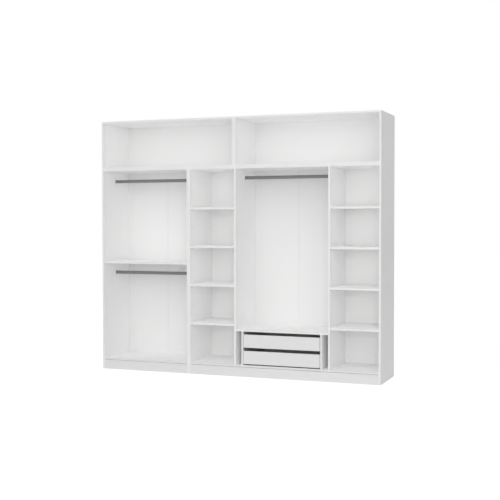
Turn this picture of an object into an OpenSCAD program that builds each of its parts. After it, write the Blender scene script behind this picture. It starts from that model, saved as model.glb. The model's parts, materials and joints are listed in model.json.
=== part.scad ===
// Open flat-pack wardrobe: a hanging unit, a wide unit with two shelf columns round a
// hanging bay with two drawers, and two top boxes, all in white boards.
// Origin: on the floor, under the middle of the wardrobe. The front faces -Y.

/* [Overall] */
// Depth from the front edges to the rear edges of the side boards
wardrobe_d = 510; // [480:1:620]
// Height of the two lower units above the floor
lower_h = 1895; // [1750:1:2150]
// Height of each top box
top_box_h = 450; // [300:1:600]
// Thickness of the carcass boards
board_t = 18; // [16:0.5:22]

/* [Bays] */
// Clear width of the left hanging bay
left_bay_w = 864; // [700:1:1000]
// Clear width of each shelf column
column_w = 432; // [350:1:560]
// Clear width of the wide hanging bay
wide_bay_w = 864; // [700:1:1000]

/* [Plinth] */
// Height of the underside of the bottom boards above the floor
plinth_h = 91; // [70:1:120]
// Set-back of the plinth behind the front edges
plinth_setback = 4; // [0:0.5:40]
// Gap between a plinth and the bottom board over it
plinth_gap = 3; // [0.5:0.5:5]
// Height of the glides under the side boards
glide_h = 2; // [1:0.5:5]
// Radius of a glide's foot
glide_r = 7.5; // [5:0.5:8]
// Radius of a glide's stem
glide_stem_r = 2.5; // [1.5:0.1:4]
// Length of a glide's stem
glide_stem_l = 12; // [8:1:20]

/* [Back] */
// Thickness of the back panels
back_t = 3; // [2.5:0.1:5]
// Distance from the rear edges of the sides to the back panels
back_inset = 10; // [6:0.5:20]
// Depth of the grooves that hold the back panels
back_groove_d = 8; // [5:0.5:10]
// Play of a back panel in its groove
back_play = 0.2; // [0.1:0.05:0.4]
// Width of the strip that joins two back panels
joint_strip_w = 16; // [10:1:30]
// Wall of the strip that joins two back panels
joint_strip_t = 0.8; // [0.5:0.1:1.2]

/* [Shelves] */
// Height of the underside of the lowest column shelf above the floor
first_shelf_z = 457; // [250:1:600]
// Pitch of the row of shelf pin holes
hole_pitch = 32; // [24:1:36]
// Number of hole pitches from one column shelf to the next
shelf_step = 11; // [8:1:12]
// Number of shelves in each column
shelf_count = 4; // [1:1:4]
// Height of the underside of the left unit's shelf above the floor
left_shelf_z = 1006; // [700:1:1300]
// Play between a column shelf and the board beside it
shelf_play = 0.5; // [0.2:0.1:0.9]
// Gap between the rear edge of a shelf and the back panel
shelf_back_gap = 2; // [1.5:0.1:10]
// Radius of a shelf pin
pin_r = 2.5; // [2:0.1:4]
// Length of a shelf pin inside its hole
pin_in = 8; // [5:0.5:10]
// Length of a shelf pin under its shelf
pin_out = 8; // [5:0.5:15]
// Half width of a shelf pin's flat head
pin_head_r = 4; // [3:0.1:6]
// Distance of the shelf pins from the front and rear edges of a shelf
pin_edge = 37; // [20:1:60]

/* [Hanging rails] */
// Height of the oval rail section
rail_h = 30; // [24:0.5:40]
// Width of the oval rail section
rail_w = 15; // [10:0.5:20]
// Wall of the rail tube
rail_wall = 1.2; // [0.8:0.1:2]
// Distance of the rails behind the front edges
rail_y = 230; // [180:1:300]
// Drop of the upper left rail under the board above it
upper_left_rail_drop = 88.5; // [50:0.5:150]
// Drop of the lower left rail under the board above it
lower_left_rail_drop = 94.5; // [50:0.5:150]
// Drop of the wide bay's rail under the board above it
wide_rail_drop = 74; // [50:0.5:150]
// Thickness of a rail socket's plate
socket_plate_t = 2.5; // [1.5:0.1:4]
// Wall of the plug that carries a rail's end
socket_wall = 2; // [1.2:0.1:3]
// Length of the plug that carries a rail's end
socket_plug_l = 12; // [6:0.5:20]
// Margin of a rail socket's plate round the rail and the screws
socket_margin = 2; // [1:0.1:4]
// Play between a rail and its socket
rail_play = 0.2; // [0.1:0.05:0.4]

/* [Drawer unit] */
// Open gap between the wide bay's dividers and the drawer unit
drawer_unit_gap = 53; // [20:1:90]
// Clear height under the drawer unit's top board
drawer_opening_h = 303; // [296:1:400]
// Height of a drawer front
drawer_front_h = 117.5; // [112:0.5:120]
// Finger gap above the upper drawer front
upper_finger_gap = 27; // [18:0.5:30]
// Finger gap above the lower drawer front
lower_finger_gap = 30; // [18:0.5:35]
// Gap beside a drawer front
front_side_gap = 4; // [2:0.5:8]
// Thickness of the drawer box boards
box_t = 12; // [10:0.5:16]
// Height of the drawer box sides
box_side_h = 95; // [88:1:100]
// Height of the drawer box above the lower edge of its front
box_lift = 10; // [4:0.5:14]
// Gap between a drawer box and the back panels behind it
box_back_gap = 29; // [15:1:120]
// Distance of a drawer's cam locks from its base and from the upper edges of its sides
box_joint_inset = 10; // [8.5:0.5:16]
// Thickness of the drawer base
base_t = 3; // [2.5:0.1:5]
// Height of the drawer base above the lower edge of the box sides
base_lift = 8; // [5:0.5:14]
// Depth of the grooves that hold the drawer base
base_groove_d = 5; // [3:0.5:7]
// Play of the drawer base in its grooves
base_play = 0.2; // [0.1:0.05:0.4]

/* [Runners] */
// Space that a runner fills beside the drawer box
runner_w = 13; // [12.5:0.1:16]
// Height of a runner
runner_h = 45; // [35:0.5:53]
// Set-back of a runner behind the drawer front
runner_setback = 2; // [1:0.5:6]
// Distance from a runner's rear end to the rear edge of its drawer
runner_end_gap = 3; // [1:0.5:60]
// Thickness of the runner's steel
runner_t = 1.2; // [0.8:0.1:1.5]
// Play between the members of a runner
runner_play = 0.4; // [0.3:0.05:0.8]
// Distance from the ends of a runner to its screws
runner_screw_inset = 37; // [15:1:80]

/* [Fasteners] */
// Play of pins, bolts and screws in their holes
hole_play = 0.05; // [0.02:0.01:0.1]
// Radius of a cam lock
cam_r = 7.5; // [6:0.1:7.5]
// Distance from a board's end to its cam lock
cam_back = 34; // [24:0.5:40]
// Reach of a cam lock past the middle of its board
cam_reach = 5; // [4.5:0.1:5.5]
// Set-back of a cam lock's face below the face of its board
cam_sink = 0.3; // [0.1:0.1:1]
// Distance of the cam bolts from the front and rear edges
cam_edge = 70; // [50:1:100]
// Radius of a cam bolt
cam_bolt_r = 3.5; // [3:0.1:4]
// Radius of a cam bolt's neck
cam_neck_r = 2; // [1.5:0.1:2.5]
// Length of a cam bolt's head
cam_head_l = 4; // [2:0.5:5]
// Radius of a cam bolt's thread
cam_thread_r = 2.5; // [2:0.1:3]
// Length of a cam bolt's thread
cam_thread_l = 11; // [8:0.5:12]
// Radius of a wooden dowel
dowel_r = 4; // [3:0.1:5]
// Length of a wooden dowel in a board's end
dowel_end_l = 18; // [12:0.5:24]
// Length of a wooden dowel in a board's face
dowel_face_l = 11; // [8:0.5:13]
// Distance from a cam bolt to the dowel next to it
dowel_step = 32; // [24:1:64]
// Radius of a confirmat screw
confirmat_r = 3.5; // [2.5:0.1:4]
// Length of a confirmat screw
confirmat_l = 50; // [40:1:60]
// Radius of a confirmat screw's head
confirmat_head_r = 5; // [4:0.1:6]
// Height of a confirmat screw's head
confirmat_head_h = 3; // [2:0.5:5]
// Radius of a short screw
screw_r = 1.75; // [1.25:0.05:2]
// Length of a short screw
screw_l = 14; // [10:0.5:15]
// Radius of a screw head
screw_head_r = 3.5; // [2.5:0.1:4]
// Height of a screw head
screw_head_h = 1.5; // [1:0.1:2]
// Length of a drawer box screw
drawer_screw_l = 10; // [6:0.5:11]
// Radius of a connector sleeve
sleeve_r = 4; // [3.5:0.1:5]
// Radius of a connector bolt
connector_bolt_r = 2.9; // [2:0.1:3]
// Radius of a connector's heads
connector_head_r = 7; // [6:0.1:9]
// Height of a connector's heads
connector_head_h = 1.2; // [0.8:0.1:2]
// Distance of the connectors from the front and rear edges
connector_edge = 60; // [40:1:90]
// Distance of the upright connectors from the side boards
connector_inset = 150; // [100:1:180]

/* [Hidden] */

// Number of segments of a round part
round_fn = 48;
// Distance that a cut runs past the face it opens
over = 1;

left_unit_w = left_bay_w + 2 * board_t;
right_unit_w = 2 * column_w + wide_bay_w + 4 * board_t;
total_w = left_unit_w + right_unit_w;
box_w = total_w / 2;

inner_d = wardrobe_d - back_inset - back_t;
shelf_d = inner_d - shelf_back_gap;
floor_z = plinth_h + board_t;
plinth_top_z = plinth_h - plinth_gap;
roof_z = lower_h - board_t;
box_top_z = lower_h + top_box_h;

left_u0 = board_t;
left_u1 = left_unit_w - board_t;
column_a_u0 = left_unit_w + board_t;
column_a_u1 = column_a_u0 + column_w;
wide_u0 = column_a_u1 + board_t;
wide_u1 = wide_u0 + wide_bay_w;
column_b_u0 = wide_u1 + board_t;
column_b_u1 = column_b_u0 + column_w;
right_mid_u = (left_unit_w + total_w) / 2;

shelf_pitch = hole_pitch * shelf_step;
brace_y = plinth_setback + board_t;

drawer_top_z = floor_z + drawer_opening_h;
unit_u0 = wide_u0 + drawer_unit_gap;
unit_u1 = wide_u1 - drawer_unit_gap;
opening_u0 = unit_u0 + board_t;
opening_u1 = unit_u1 - board_t;
upper_front_z = drawer_top_z - upper_finger_gap - drawer_front_h;
lower_front_z = upper_front_z - lower_finger_gap - drawer_front_h;
box_u0 = opening_u0 + runner_w;
box_u1 = opening_u1 - runner_w;
box_l = inner_d - board_t - box_back_gap;

// Depths, counted from the front edges, of the cam bolts and dowels of a board's end
cam_ys = [cam_edge, inner_d - cam_edge];
dowel_ys = [cam_edge + dowel_step, inner_d - cam_edge - dowel_step];
pin_ys = [pin_edge, shelf_d - pin_edge];
connector_ys = [connector_edge, inner_d - connector_edge];
connector_zs = [for (step = [0, 2]) first_shelf_z + (step + 1 / 2) * shelf_pitch];

// Fastener frames: each is [u, y, z, turn]. Its X axis points along the fastener.
// For a board between two uprights, the X axis points into the board from its end.
function board_ends(u0, u1, ys, z, down) = [
    for (y = ys)
        for (end = [[u0, 0], [u1, 180]])
            [end[0], y, z, [down ? 180 : 0, 0, end[1]]]
];
function left_unit_joints(ys) = concat(
    board_ends(left_u0, left_u1, ys, roof_z + board_t / 2, false),
    board_ends(left_u0, left_u1, ys, left_shelf_z + board_t / 2, true),
    board_ends(left_u0, left_u1, ys, plinth_h + board_t / 2, true)
);
function right_unit_joints(ys) = concat(
    board_ends(column_a_u0, column_b_u1, ys, roof_z + board_t / 2, false),
    board_ends(column_a_u0, column_b_u1, ys, plinth_h + board_t / 2, true)
);
function top_box_joints(ys, u) = concat(
    board_ends(u + board_t, u + box_w - board_t, ys, box_top_z - board_t / 2, false),
    board_ends(u + board_t, u + box_w - board_t, ys, lower_h + board_t / 2, true)
);
function drawer_unit_joints(ys) = concat(
    board_ends(wide_u0, wide_u1, ys, drawer_top_z + board_t / 2, true),
    [for (y = ys) [unit_u0 + board_t / 2, y, drawer_top_z, [0, 90, 0]]],
    [for (y = ys) [unit_u1 - board_t / 2, y, drawer_top_z, [0, 90, 180]]]
);
// Dowels that stand in the bottom board, under the drawer unit's sides
unit_foot_dowels = [
    for (y = dowel_ys)
        for (u = [unit_u0 + board_t / 2, unit_u1 - board_t / 2])
            [u, y, floor_z, [0, -90, 0]]
];
plinth_dowels_z = [plinth_h / 3, 2 * plinth_h / 3];
function plinth_dowels(u0, u1) = [
    for (z = plinth_dowels_z)
        for (end = [[u0, 0], [u1, 180]])
            [end[0], plinth_setback + board_t / 2, z, [0, 0, end[1]]]
];
left_unit_dowels = concat(left_unit_joints(dowel_ys), plinth_dowels(left_u0, left_u1));
right_unit_dowels = concat(
    right_unit_joints(dowel_ys),
    plinth_dowels(column_a_u0, column_b_u1)
);
// Confirmat screws run down into the dividers from the top board and up from the bottom board
divider_confirmats = [
    for (u = [column_a_u1 + board_t / 2, wide_u1 + board_t / 2])
        for (y = cam_ys)
            for (end = [[lower_h, 90], [plinth_h, -90]])
                [u, y, end[0], [0, end[1], 0]]
];

rail_bays = [
    [left_u0, left_u1, roof_z - upper_left_rail_drop],
    [left_u0, left_u1, left_shelf_z - lower_left_rail_drop],
    [wide_u0, wide_u1, roof_z - wide_rail_drop]
];
socket_screw_z = rail_h / 2 + socket_margin + screw_head_r;
socket_half_h = socket_screw_z + screw_head_r + socket_margin;
socket_half_w = rail_w / 2 + socket_margin;
plug_inset = rail_wall + rail_play;
socket_screws = [
    for (bay = rail_bays)
        for (side = [-1, 1])
            for (end = [[bay[0] + socket_plate_t, 180], [bay[1] - socket_plate_t, 0]])
                [end[0], rail_y, bay[2] + side * socket_screw_z, [0, 0, end[1]]]
];

back_y = inner_d + back_t;
joint_web = joint_strip_t;
left_joint_u = left_unit_w / 2;
back_edge_u = board_t - back_groove_d + back_play;
left_back_spans = [
    [back_edge_u, left_joint_u - joint_web / 2 - back_play],
    [left_joint_u + joint_web / 2 + back_play, left_unit_w - back_edge_u]
];
right_back_spans = [
    [left_unit_w + back_edge_u, column_a_u1 + board_t / 2 - back_play / 2],
    [column_a_u1 + board_t / 2 + back_play / 2, right_mid_u - joint_web / 2 - back_play],
    [right_mid_u + joint_web / 2 + back_play, wide_u1 + board_t / 2 - back_play / 2],
    [wide_u1 + board_t / 2 + back_play / 2, total_w - back_edge_u]
];
box_back_spans = [for (u = [0, box_w]) [u + back_edge_u, u + box_w - back_edge_u]];
function back_screws(spans, zs) = [
    for (span = spans)
        for (share = [1, 3])
            for (z = zs)
                [span[0] + (span[1] - span[0]) * share / 4, back_y, z, [0, 0, -90]]
];
lower_back_screws_z = [floor_z - board_t / 2, roof_z + board_t / 2];
box_back_screws_z = [lower_h + board_t / 2, box_top_z - board_t / 2];
left_back_screws = back_screws(left_back_spans, lower_back_screws_z);
right_back_screws = back_screws(right_back_spans, lower_back_screws_z);
box_back_screws = back_screws(box_back_spans, box_back_screws_z);

// Connectors: the middle of each frame lies between the two boards it holds together
side_connectors = concat(
    [for (y = connector_ys) for (z = connector_zs) [left_unit_w, y, z, [0, 0, 0]]],
    [for (y = connector_ys) [box_w, y, lower_h + top_box_h / 2, [0, 0, 0]]]
);
upright_connector_us = [
    left_u0 + connector_inset,
    left_u1 - connector_inset,
    column_a_u0 + connector_inset,
    box_w + board_t + connector_inset,
    (box_w + total_w) / 2,
    total_w - board_t - connector_inset
];
upright_connectors = [
    for (u = upright_connector_us)
        for (y = connector_ys)
            [u, y, lower_h, [0, -90, 0]]
];
connectors = concat(side_connectors, upright_connectors);

// Heights of the runner members, each inside the one before
middle_h = runner_h - 2 * (runner_t + runner_play);
inner_h = middle_h - 2 * (runner_t + runner_play);
// Distances of the members' webs from the drawer unit's side
middle_x = runner_t + screw_head_h + runner_play;
inner_x = middle_x + runner_t + runner_play;
middle_reach = runner_w - runner_t - screw_head_h - runner_play;

runner_y0 = board_t + runner_setback;
runner_l = box_l - runner_setback - runner_end_gap;
runner_screw_ys = [
    runner_y0 + runner_screw_inset,
    runner_y0 + runner_l / 2,
    runner_y0 + runner_l - runner_screw_inset
];
function runner_z(front_z) = front_z + box_lift + box_side_h / 2;
cabinet_runner_screws = [
    for (front_z = [upper_front_z, lower_front_z])
        for (y = runner_screw_ys)
            for (end = [[opening_u0 + runner_t, 180], [opening_u1 - runner_t, 0]])
                [end[0], y, runner_z(front_z), [0, 0, end[1]]]
];
function drawer_runner_screws(front_z) = [
    for (y = runner_screw_ys)
        for (end = [[box_u0 - runner_t, 0], [box_u1 + runner_t, 180]])
            [end[0], y, runner_z(front_z), [0, 0, end[1]]]
];
base_top = base_lift + base_t;
drawer_cam_zs = [base_top + box_joint_inset, box_side_h - box_joint_inset];
function drawer_front_cams(front_z) = [
    for (dz = drawer_cam_zs)
        for (end = [[box_u0 + box_t / 2, 90], [box_u1 - box_t / 2, -90]])
            [end[0], board_t, front_z + box_lift + dz, [end[1], 0, 90]]
];
// Screws through the box sides into the ends of the box's back, under and over the runner
drawer_back_zs = [
    (base_top + (box_side_h - inner_h) / 2) / 2,
    ((box_side_h + inner_h) / 2 + box_side_h) / 2
];
function drawer_back_screws(front_z) = [
    for (dz = drawer_back_zs)
        for (end = [[box_u0, 0], [box_u1, 180]])
            [end[0], board_t + box_l - box_t / 2, front_z + box_lift + dz, [0, 0, end[1]]]
];
glide_us = [
    left_u0 / 2,
    left_unit_w - board_t / 2,
    left_unit_w + board_t / 2,
    column_a_u1 + board_t / 2,
    wide_u1 + board_t / 2,
    total_w - board_t / 2
];

// Places children by their distance from the left side, from the front and from the floor
module at(u, y, z) translate([u - total_w / 2, y - wardrobe_d / 2, z]) children();

// Repeats children in each of the given fastener frames
module in_frames(frames)
    for (f = frames)
        at(f[0], f[1], f[2]) rotate(f[3]) children();

// A rod along X that starts at x
module rod(x, r, l) translate([x, 0, 0]) rotate([0, 90, 0]) cylinder(r = r, h = l, $fn = round_fn);

module board(u, y, z, size) at(u, y, z) cube(size);

// The pocket and the bores of a cam joint in boards of thickness t
module cam_void(t) {
    translate([cam_back, 0, -cam_reach])
        cylinder(r = cam_r + hole_play, h = t / 2 + cam_reach + over, $fn = round_fn);
    rod(0, cam_bolt_r + hole_play, cam_back);
    rod(-cam_thread_l - hole_play, cam_thread_r + hole_play, cam_thread_l + over);
}

// A cam lock with a passage for the bolt's head and a cross slot in its face
module cam_lock(t) difference() {
    translate([cam_back, 0, -cam_reach + hole_play])
        cylinder(r = cam_r, h = t / 2 + cam_reach - cam_sink - hole_play, $fn = round_fn);
    rod(0, cam_bolt_r + hole_play, cam_back + cam_head_l / 2 + hole_play);
    for (turn = [0, 90])
        translate([cam_back, 0, t / 2 - cam_sink])
            rotate([0, 0, turn])
                cube([cam_r * 1.2, cam_r * 0.2, cam_r * 0.3], center = true);
}

// A cam bolt: a thread in the upright, a shank, a neck and a head in the cam lock
module cam_bolt() {
    rod(-cam_thread_l, cam_thread_r, cam_thread_l + cam_head_l);
    rod(0, cam_bolt_r, cam_back - cam_r - cam_head_l / 2);
    rod(cam_back - cam_r - cam_head_l, cam_neck_r, cam_r + cam_head_l);
    rod(cam_back - cam_head_l / 2, cam_bolt_r, cam_head_l);
}

module dowel_void()
    rod(-dowel_face_l - over, dowel_r + hole_play, dowel_face_l + dowel_end_l + 2 * over);

module dowel() rod(-dowel_face_l, dowel_r, dowel_face_l + dowel_end_l);

module confirmat_void() {
    rod(-over, confirmat_head_r + hole_play, confirmat_head_h + over + hole_play);
    rod(0, confirmat_r + hole_play, confirmat_l + over);
}

module confirmat() {
    rod(0, confirmat_head_r, confirmat_head_h);
    rod(0, confirmat_r, confirmat_l);
}

module screw_void(l) rod(-over, screw_r + hole_play, l + 2 * over);

module screw(l) difference() {
    union() {
        rod(-screw_head_h, screw_head_r, screw_head_h);
        rod(-screw_head_h / 2, screw_r, l + screw_head_h / 2);
    }
    for (turn = [0, 90])
        translate([-screw_head_h, 0, 0])
            rotate([turn, 0, 0])
                cube([screw_head_h, screw_r * 2.4, screw_r * 0.4], center = true);
}

module connector_void() rod(-board_t - over, sleeve_r + hole_play, 2 * (board_t + over));

// A connector: a headed sleeve from one side and a headed bolt from the other
module connector() {
    difference() {
        union() {
            rod(-board_t - connector_head_h, connector_head_r, connector_head_h);
            rod(-board_t - connector_head_h / 2, sleeve_r, 2 * board_t - connector_head_h / 2);
        }
        rod(-board_t, connector_bolt_r + hole_play, 2 * board_t);
    }
    rod(board_t, connector_head_r, connector_head_h);
    rod(-board_t + connector_head_h, connector_bolt_r, 2 * board_t - connector_head_h / 2);
}

module cam_voids(frames, t) in_frames(frames) cam_void(t);
module dowel_voids(frames) in_frames(frames) dowel_void();
module screw_voids(frames, l) in_frames(frames) screw_void(l);

// An upright board with the groove for the back panel on the given sides
module upright(u, z, h, grooves) difference() {
    board(u, 0, z, [board_t, wardrobe_d, h]);
    for (side = grooves)
        board(
            side > 0 ? u + board_t - back_groove_d : u - over,
            inner_d - back_play,
            z - over,
            [back_groove_d + over, back_t + 2 * back_play, h + 2 * over]
        );
}

module left_unit_voids() {
    cam_voids(left_unit_joints(cam_ys), board_t);
    dowel_voids(left_unit_dowels);
    screw_voids(left_back_screws, screw_l);
}

module right_unit_voids() {
    cam_voids(right_unit_joints(cam_ys), board_t);
    dowel_voids(right_unit_dowels);
    screw_voids(right_back_screws, screw_l);
}

module top_box_voids(u) {
    cam_voids(top_box_joints(cam_ys, u), board_t);
    dowel_voids(top_box_joints(dowel_ys, u));
    screw_voids(box_back_screws, screw_l);
}

module glide_voids()
    for (u = glide_us)
        for (y = connector_ys)
            at(u, y, glide_h - over)
                cylinder(r = glide_stem_r + hole_play, h = glide_stem_l + 2 * over, $fn = round_fn);

module pin_voids(u, into)
    for (i = [0 : shelf_count - 1])
        for (y = pin_ys)
            at(u, y, first_shelf_z + i * shelf_pitch - pin_head_r)
                rotate([0, 0, into])
                    rod(-over, pin_r + hole_play, pin_in + 2 * over);

module lower_side(u, grooves) difference() {
    upright(u, glide_h, lower_h - glide_h, grooves);
    glide_voids();
    in_frames(side_connectors) connector_void();
    screw_voids(socket_screws, screw_l);
}

module left_unit_left_side() color("white") difference() {
    lower_side(0, [1]);
    left_unit_voids();
}

module left_unit_right_side() color("white") difference() {
    lower_side(left_u1, [-1]);
    left_unit_voids();
}

module left_unit_top() color("white") difference() {
    board(left_u0, 0, roof_z, [left_bay_w, inner_d, board_t]);
    left_unit_voids();
    in_frames(upright_connectors) connector_void();
}

module left_unit_bottom() color("white") difference() {
    board(left_u0, 0, plinth_h, [left_bay_w, inner_d, board_t]);
    left_unit_voids();
}

module left_unit_plinth() color("white") difference() {
    board(left_u0, plinth_setback, glide_h, [left_bay_w, board_t, plinth_top_z - glide_h]);
    dowel_voids(left_unit_dowels);
}

module left_unit_shelf() color("white") difference() {
    board(left_u0, 0, left_shelf_z, [left_bay_w, shelf_d, board_t]);
    left_unit_voids();
}

// Back panels that fill the given spans from one height to another
module back_panels(spans, z0, z1, screws) color("white") difference() {
    for (span = spans)
        board(span[0], inner_d, z0, [span[1] - span[0], back_t, z1 - z0]);
    screw_voids(screws, screw_l);
}

module left_unit_back_panels()
    back_panels(left_back_spans, plinth_h, lower_h - back_play, left_back_screws);

module right_unit_left_side() color("white") difference() {
    lower_side(left_unit_w, [1]);
    right_unit_voids();
    pin_voids(column_a_u0, 180);
}

module right_unit_right_side() color("white") difference() {
    lower_side(column_b_u1, [-1]);
    right_unit_voids();
    pin_voids(column_b_u1, 0);
}

module divider(u) difference() {
    board(u, 0, floor_z, [board_t, inner_d, roof_z - floor_z]);
    in_frames(divider_confirmats) confirmat_void();
    screw_voids(socket_screws, screw_l);
    cam_voids(drawer_unit_joints(cam_ys), board_t);
    dowel_voids(drawer_unit_joints(dowel_ys));
}

module right_unit_left_divider() color("white") difference() {
    divider(column_a_u1);
    pin_voids(column_a_u1, 0);
}

module right_unit_right_divider() color("white") difference() {
    divider(wide_u1);
    pin_voids(column_b_u0, 180);
}

module right_unit_top() color("white") difference() {
    board(column_a_u0, 0, roof_z, [column_b_u1 - column_a_u0, inner_d, board_t]);
    right_unit_voids();
    in_frames(divider_confirmats) confirmat_void();
    in_frames(upright_connectors) connector_void();
}

module right_unit_bottom() color("white") difference() {
    board(column_a_u0, 0, plinth_h, [column_b_u1 - column_a_u0, inner_d, board_t]);
    right_unit_voids();
    in_frames(divider_confirmats) confirmat_void();
    dowel_voids(unit_foot_dowels);
}

module right_unit_plinth() color("white") difference() {
    board(
        column_a_u0,
        plinth_setback,
        glide_h,
        [column_b_u1 - column_a_u0, board_t, plinth_top_z - glide_h]
    );
    dowel_voids(right_unit_dowels);
}

module right_unit_plinth_braces() color("white") difference() {
    for (u = [column_a_u1, wide_u1])
        board(u, brace_y, glide_h, [board_t, inner_d - brace_y, plinth_h - glide_h]);
    glide_voids();
}

module right_unit_back_panels()
    back_panels(right_back_spans, plinth_h, lower_h - back_play, right_back_screws);

// An H-shaped strip between two back panels, seen from above
module joint_strip(u, z0, z1)
    at(u, inner_d + back_t / 2, z0)
        linear_extrude(z1 - z0) {
            for (side = [-1, 1])
                translate([0, side * (back_t / 2 + back_play + joint_strip_t / 2)])
                    square([joint_strip_w, joint_strip_t], center = true);
            square([joint_web, back_t + 2 * back_play], center = true);
        }

module back_joint_strips() color("gainsboro")
    for (u = [left_joint_u, right_mid_u])
        joint_strip(u, floor_z, roof_z);

module column_shelves(u)
    for (i = [0 : shelf_count - 1])
        board(
            u + shelf_play,
            0,
            first_shelf_z + i * shelf_pitch,
            [column_w - 2 * shelf_play, shelf_d, board_t]
        );

module left_column_shelves() color("white") column_shelves(column_a_u0);
module right_column_shelves() color("white") column_shelves(column_b_u0);

module top_box_side(u, groove) difference() {
    upright(u, lower_h, top_box_h, [groove]);
    top_box_voids(u < box_w ? 0 : box_w);
    in_frames(side_connectors) connector_void();
}

module top_box_board(u, z) difference() {
    board(u + board_t, 0, z, [box_w - 2 * board_t, inner_d, board_t]);
    top_box_voids(u);
    in_frames(upright_connectors) connector_void();
}

module left_top_box_left_side() color("white") top_box_side(0, 1);
module left_top_box_right_side() color("white") top_box_side(box_w - board_t, -1);
module left_top_box_top() color("white") top_box_board(0, box_top_z - board_t);
module left_top_box_bottom() color("white") top_box_board(0, lower_h);
module right_top_box_left_side() color("white") top_box_side(box_w, 1);
module right_top_box_right_side() color("white") top_box_side(total_w - board_t, -1);
module right_top_box_top() color("white") top_box_board(box_w, box_top_z - board_t);
module right_top_box_bottom() color("white") top_box_board(box_w, lower_h);
module top_box_back_panels()
    back_panels(box_back_spans, lower_h, box_top_z - back_play, box_back_screws);

// An upright oval, as wide as w and as high as h
module oval(w, h) {
    square([w, h - w], center = true);
    for (side = [-1, 1])
        translate([0, side * (h - w) / 2])
            circle(d = w, $fn = round_fn);
}

// A bar along X with the given section, whose second axis points up
module bar_x(l) rotate([90, 0, 90]) linear_extrude(l) children();

// An oval that lies inside the rail section by the given distance
module inner_oval(inset) oval(rail_w - 2 * inset, rail_h - 2 * inset);

module rail(bay)
    at(bay[0] + socket_plate_t + rail_play, rail_y, bay[2])
        bar_x(bay[1] - bay[0] - 2 * (socket_plate_t + rail_play))
            difference() {
                inner_oval(0);
                inner_oval(rail_wall);
            }

module upper_left_rail() color("dimgray") rail(rail_bays[0]);
module lower_left_rail() color("dimgray") rail(rail_bays[1]);
module wide_bay_rail() color("dimgray") rail(rail_bays[2]);

// A rail socket: a plate with a hollow plug that carries the rail's end
module rail_socket() {
    bar_x(socket_plate_t)
        oval(2 * socket_half_w, 2 * socket_half_h);
    bar_x(socket_plate_t + socket_plug_l)
        difference() {
            inner_oval(plug_inset);
            inner_oval(plug_inset + socket_wall);
        }
}

module rail_sockets() color("white") difference() {
    for (bay = rail_bays)
        for (end = [[bay[0], 0], [bay[1], 180]])
            at(end[0], rail_y, bay[2]) rotate([0, 0, end[1]]) rail_socket();
    screw_voids(socket_screws, screw_l);
}

module drawer_unit_top() color("white") difference() {
    board(wide_u0, 0, drawer_top_z, [wide_bay_w, shelf_d, board_t]);
    cam_voids(drawer_unit_joints(cam_ys), board_t);
    dowel_voids(drawer_unit_joints(dowel_ys));
}

module drawer_unit_side(u) difference() {
    board(u, 0, floor_z, [board_t, shelf_d, drawer_opening_h]);
    cam_voids(drawer_unit_joints(cam_ys), board_t);
    dowel_voids(drawer_unit_joints(dowel_ys));
    dowel_voids(unit_foot_dowels);
    screw_voids(cabinet_runner_screws, screw_l);
}

module drawer_unit_left_side() color("white") drawer_unit_side(unit_u0);
module drawer_unit_right_side() color("white") drawer_unit_side(opening_u1);

// The space that a drawer's base and its play take up in the boards round it
module base_void(front_z)
    board(
        box_u0 + box_t - base_groove_d,
        board_t - base_groove_d,
        front_z + box_lift + base_lift - base_play,
        [box_u1 - box_u0 - 2 * (box_t - base_groove_d), box_l + base_groove_d + over,
            base_t + 2 * base_play]
    );

module drawer_front(front_z) difference() {
    board(
        opening_u0 + front_side_gap,
        0,
        front_z,
        [opening_u1 - opening_u0 - 2 * front_side_gap, board_t, drawer_front_h]
    );
    base_void(front_z);
    cam_voids(drawer_front_cams(front_z), box_t);
}

module drawer_side(u, front_z) difference() {
    board(u, board_t, front_z + box_lift, [box_t, box_l, box_side_h]);
    base_void(front_z);
    cam_voids(drawer_front_cams(front_z), box_t);
    screw_voids(drawer_runner_screws(front_z), drawer_screw_l);
    screw_voids(drawer_back_screws(front_z), box_t + drawer_screw_l);
}

module drawer_back(front_z) difference() {
    board(
        box_u0 + box_t,
        board_t + box_l - box_t,
        front_z + box_lift + base_top + base_play,
        [box_u1 - box_u0 - 2 * box_t, box_t, box_side_h - base_top - base_play]
    );
    screw_voids(drawer_back_screws(front_z), box_t + drawer_screw_l);
}

module drawer_base(front_z)
    board(
        box_u0 + box_t - base_groove_d + base_play,
        board_t - base_groove_d + base_play,
        front_z + box_lift + base_lift,
        [box_u1 - box_u0 - 2 * (box_t - base_groove_d + base_play),
            box_l + base_groove_d - base_play, base_t]
    );

module upper_drawer_front() color("white") drawer_front(upper_front_z);
module upper_drawer_left_side() color("gray") drawer_side(box_u0, upper_front_z);
module upper_drawer_right_side() color("gray") drawer_side(box_u1 - box_t, upper_front_z);
module upper_drawer_back() color("gray") drawer_back(upper_front_z);
module upper_drawer_base() color("gray") drawer_base(upper_front_z);
module lower_drawer_front() color("white") drawer_front(lower_front_z);
module lower_drawer_left_side() color("gray") drawer_side(box_u0, lower_front_z);
module lower_drawer_right_side() color("gray") drawer_side(box_u1 - box_t, lower_front_z);
module lower_drawer_back() color("gray") drawer_back(lower_front_z);
module lower_drawer_base() color("gray") drawer_base(lower_front_z);

// A channel that is open towards +X, with its web at x
module channel(x, x1, h)
    translate([x, 0, -h / 2])
        difference() {
            cube([x1 - x, runner_l, h]);
            translate([runner_t, -over, runner_t])
                cube([x1 - x, runner_l + 2 * over, h - 2 * runner_t]);
        }

// Places a runner's members on both sides of the drawer opening
module both_sides(z) {
    at(opening_u0, runner_y0, z) children();
    at(opening_u1, runner_y0, z) mirror([1, 0, 0]) children();
}

module cabinet_member() channel(0, runner_w / 2, runner_h);
module middle_member() channel(middle_x, middle_reach, middle_h);
module drawer_member() translate([runner_w + inner_x, 0, 0]) mirror([1, 0, 0])
    channel(inner_x, runner_w, inner_h);

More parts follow.
